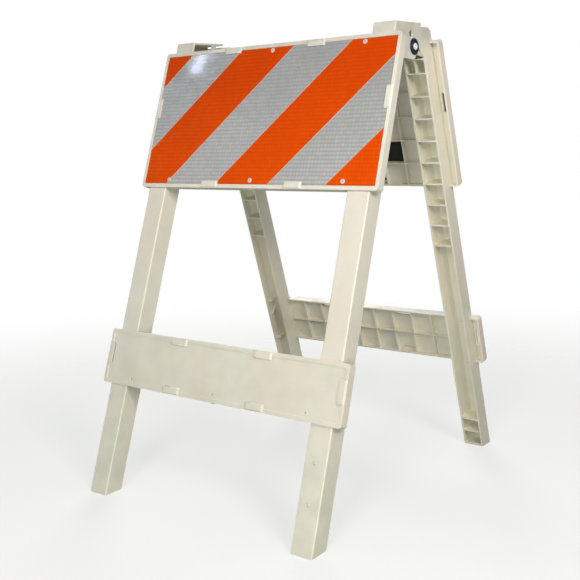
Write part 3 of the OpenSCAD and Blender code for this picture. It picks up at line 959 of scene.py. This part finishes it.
@dataclass
class Hinge:
    """The fittings at one end of the hinge axis, turned as fresh meshes."""

    end: End
    finishes: Finishes
    # The nut's bore is half as wide as the nut, and the pin's radius is this much smaller.
    nut_grip: float = 0.02 * MM
    pin_chamfer: float = 1 * MM
    # The hub's top: a bevelled rim, then a dish whose floor rises a little to its middle.
    hub_bevel: float = 1.4 * MM
    hub_dish: Pair = (0.5, 0.42)
    hub_drop: float = 0.9 * MM
    # How far under the top the rim, the dish's lip and its middle lie.
    hub_falls: tuple[float, float, float] = (0.1 * MM, 0.2 * MM, 0.8 * MM)
    # The cap's face: a bevelled rim, a sunk ring and a collar round the hub.
    cap_bevel: Pair = (1.4 * MM, 1.0 * MM)
    cap_rim: float = 3.2 * MM
    ring_outer: float = 4.4 * MM
    ring_inner: float = 1.6 * MM
    ring_drop: float = 0.9 * MM
    collar: float = 0.7 * MM
    tube_play: float = 0.1 * MM
    nut_brim: float = 3 * MM
    nut_lip: float = 0.7 * MM
    nut_sheet: float = 0.8 * MM
    hub_round: float = 0.5 * MM
    cap_round: float = 0.4 * MM
    split_angle: float = math.radians(40)

    @property
    def name(self) -> str:
        """The end's name, as its nodes have it."""
        return self.end.name.lower()

    def span(self, part: str) -> tuple[float, float, float]:
        """Measures a fitting along the hinge axis.

        Args:
            part: the CAD node's name without its end.

        Returns:
            Its nearest and farthest distance from the middle of the barricade, and its radius.
        """
        low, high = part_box(f"{self.name}_{part}")
        near, far = sorted((abs(low.x), abs(high.x)))
        return near, far, (high.z - low.z) / 2

    def pin_radius(self) -> float:
        """Gives the pin's radius, which the push nut grips."""
        return self.span("push_nut")[2] / 2 - self.nut_grip

    def axis(self) -> Matrix:
        """Finds the hinge axis.

        Returns:
            The placing of a shape that is turned about it, outward from the middle of the barricade.
        """
        low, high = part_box(f"{self.name}_hinge_cap")
        centre = (low + high) / 2
        return aimed(Vector((0, centre.y, centre.z)), Vector((self.end.value, 0, 0)))

    def fitting(
        self, part: str, profile: list[Pair], coat: bpy.types.Material, body: str, steps: int = 48
    ) -> None:
        """Turns a fitting that stands for its CAD node.

        Args:
            part: the CAD node's name without its end.
            profile: radius and distance pairs from the middle of the barricade.
            coat: its finish.
            body: the CAD body that it rides on.
            steps: how many steps go round.
        """
        mesh = bmesh.new()
        turned(mesh, profile, self.axis(), steps)
        piece = mesh_piece(f"{self.name}_{part}_turned", mesh, coat)
        crisp = piece.modifiers.new("crisp_corners", "EDGE_SPLIT")
        crisp.split_angle = self.split_angle
        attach(piece, body)
        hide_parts(f"{self.name}_{part}")

    def pin(self) -> None:
        """Builds the pin with its hub, whose shoulder lies on the cap."""
        near, far, hub = self.span("hinge_pin")
        shoulder, r = self.span("hinge_cap")[1], self.pin_radius()
        tail = [(0, near), (r - self.pin_chamfer, near), (r, near + self.pin_chamfer)]
        rim_fall, lip_fall, middle_fall = self.hub_falls
        low = far - self.hub_drop
        rim = [(r, shoulder), (hub, shoulder), (hub, low), (hub - self.hub_bevel, far - rim_fall)]
        lip, floor = (hub * share for share in self.hub_dish)
        dish = [(lip, far - lip_fall), (floor, low), (0, far - middle_fall)]
        profile = tail + rounded(rim + dish, self.hub_round)
        self.fitting("hinge_pin", profile, self.finishes.hub, "front_frame")

    def cap(self) -> None:
        """Builds the dark cap round the hub."""
        near, far, r = self.span("hinge_cap")
        pin, hub = self.pin_radius(), self.span("hinge_pin")[2]
        bevel_in, bevel_down = self.cap_bevel
        floor = far - self.ring_drop
        rim = [(pin, near), (r, near), (r, far - bevel_down), (r - bevel_in, far), (r - self.cap_rim, far)]
        ring = [(r - self.ring_outer, floor), (hub + self.ring_inner, floor), (hub + self.collar, far)]
        profile = rounded([*rim, *ring, (pin, far)], self.cap_round)
        self.fitting("hinge_cap", profile, self.finishes.cap, "front_frame", 64)

    def tube(self) -> None:
        """Builds the spacer tube round the pin."""
        near, far, r = self.span("spacer_tube")
        bore = self.pin_radius() + self.tube_play
        profile = [(bore, near), (r, near), (r, far), (bore, far)]
        self.fitting("spacer_tube", profile, self.finishes.zinc, "rear_frame")

    def nut(self) -> None:
        """Builds the push nut, a dished sheet washer with a turned-up brim."""
        near, far, r = self.span("push_nut")
        pin, brim, face = self.pin_radius(), r - self.nut_brim, near + self.nut_sheet
        profile = [(pin, near), (brim, near), (r, near + self.nut_lip), (r, far), (brim, face), (pin, face)]
        self.fitting("push_nut", profile, self.finishes.zinc, "front_frame")

    def build(self) -> None:
        """Builds the pin, the cap, the spacer tube and the push nut."""
        self.pin()
        self.cap()
        self.tube()
        self.nut()
        LOG.info("%s hinge: pin, cap, tube and nut turned", self.name)


@dataclass(frozen=True)
class Lamp:
    """One soft rectangular lamp: its place, the point it faces, its size, power in watts and colour."""

    name: str
    at: Point
    size: Pair
    power: float
    colour: str
    toward: Point = (0, 0, 0.5)

    def hang(self) -> None:
        """Hangs the lamp."""
        light = bpy.data.lights.new(self.name, "AREA")
        light.shape = "RECTANGLE"
        light.size, light.size_y = self.size
        light.energy = self.power
        light.color = linear(self.colour)[:3]
        hung = bpy.data.objects.new(self.name, light)
        hung.location = self.at
        hung.rotation_euler = (Vector(self.toward) - Vector(self.at)).to_track_quat("-Z", "Y").to_euler()
        bpy.context.scene.collection.objects.link(hung)


@dataclass
class Studio:
    """The paper floor, the lamps, the surroundings and the camera."""

    camera_place: Point = (1.12425, -1.45033, 0.6822)
    yaw: float = 0.58234
    pitch: float = -0.10247
    roll: float = -0.01056
    sensor: float = 36
    lens: float = 52.82
    shift: Pair = (-0.1312, -0.0823)
    clip: Pair = (0.05, 60)
    paper_radius: float = 2.4
    # The paper lies this far under the feet, so that no two faces share a plane.
    paper_drop: float = 0.0002
    ground: str = "6C9A84"
    sky: str = "DDEEEA"
    horizon: Pair = (-0.25, 0.25)
    ambient: float = 0.24

    def lamps(self) -> None:
        """Hangs the key, the fills, the back light and the narrow light that glances off the panel."""
        for lamp in (
            Lamp("key_light", (1.05, -2.55, 1.9), (0.8, 0.8), 31, "FFFAF4"),
            Lamp("side_light", (1.95, -1.02, 1.5), (0.6, 0.6), 26.5, "FFFAF2"),
            Lamp("low_fill", (1.5, -2.6, 0.35), (1.2, 0.5), 31, "F8FFFA", toward=(0, 0, 0.45)),
            Lamp("top_light", (0.3, 0.2, 3.2), (2.2, 2.2), 4, "FFFFFF"),
            Lamp("side_fill", (-2.6, -1.6, 1.4), (1.6, 1.6), 3, "EEF2FF"),
            Lamp("back_light", (-2.0, 2.5, 2.0), (1.4, 1.4), 52, "FFFDFA"),
            Lamp("glance_light", (-1.9, -1.38, 2.13), (0.04, 0.2), 1.0, "D3DFFF", toward=(-0.2, -0.09, 0.86)),
        ):
            lamp.hang()

    def surroundings(self) -> None:
        """Surrounds the barricade with pale sky and dull ground, which show as plain white behind it."""
        world = bpy.data.worlds.new("studio_surroundings")
        world.use_nodes = True
        bpy.context.scene.world = world
        tree = world.node_tree
        tree.nodes.clear()
        height = add(tree, "SeparateXYZ", inputs=[add(tree, "TexCoord").outputs["Generated"]]).outputs["Z"]
        share = add(tree, "MapRange", SMOOTH, [height, *self.horizon, 0, 1])
        colour = add(tree, "Mix", BLEND, [share, linear(self.ground), linear(self.sky)])
        ambient = add(tree, "Background", inputs={"Color": colour, "Strength": self.ambient})
        plain = add(tree, "Background", inputs={"Color": linear("FFFFFF"), "Strength": 1.0})
        seen = add(tree, "LightPath").outputs["Is Camera Ray"]
        add(tree, "OutputWorld", inputs={"Surface": add(tree, "MixShader", inputs=[seen, ambient, plain])})

    def floor(self) -> None:
        """Lays the paper the barricade stands on, which isn't part of the object."""
        sheet = bmesh.new()
        bmesh.ops.create_circle(sheet, cap_ends=True, segments=96, radius=self.paper_radius)
        laid = mesh_piece("studio_floor", sheet, StudioPaper().material(), smooth=False)
        laid.location.z = -self.paper_drop

    def camera(self) -> None:
        """Sets up the camera."""
        lens = bpy.data.cameras.new("studio_camera")
        lens.sensor_width = self.sensor
        lens.lens = self.lens
        lens.shift_x, lens.shift_y = self.shift
        lens.clip_start, lens.clip_end = self.clip
        level = math.cos(self.pitch)
        ahead = Vector((-math.sin(self.yaw) * level, math.cos(self.yaw) * level, math.sin(self.pitch)))
        right = Vector((math.cos(self.yaw), math.sin(self.yaw), 0))
        up = right.cross(ahead)
        across = right * math.cos(self.roll) + up * math.sin(self.roll)
        upward = up * math.cos(self.roll) - right * math.sin(self.roll)
        stand = bpy.data.objects.new("studio_camera", lens)
        turn = Matrix((across, upward, -ahead)).transposed().to_4x4()
        stand.matrix_world = Matrix.Translation(self.camera_place) @ turn
        bpy.context.scene.collection.objects.link(stand)
        bpy.context.scene.camera = stand

    def build(self) -> None:
        """Builds the studio."""
        self.floor()
        self.lamps()
        self.surroundings()
        self.camera()
        bpy.context.scene.view_settings.view_transform = "Standard"
        LOG.info("studio: floor, lamps, surroundings and camera set")


def main() -> None:
    """Builds the barricade's looks, piece by piece."""
    logging.basicConfig(level=logging.INFO, format="%(name)s: %(message)s")
    fold = frame["joints"][0]
    tilt = math.radians(-fold["range_deg"][0] / 2)
    finishes = Finishes.build(tilt)
    for side in Side:
        Half(HalfPlane(side, tilt, fold["pos_m"][2]), finishes).build()
    for end in End:
        Hinge(end, finishes).build()
    Studio().build()


if __name__ == "__main__":
    main()
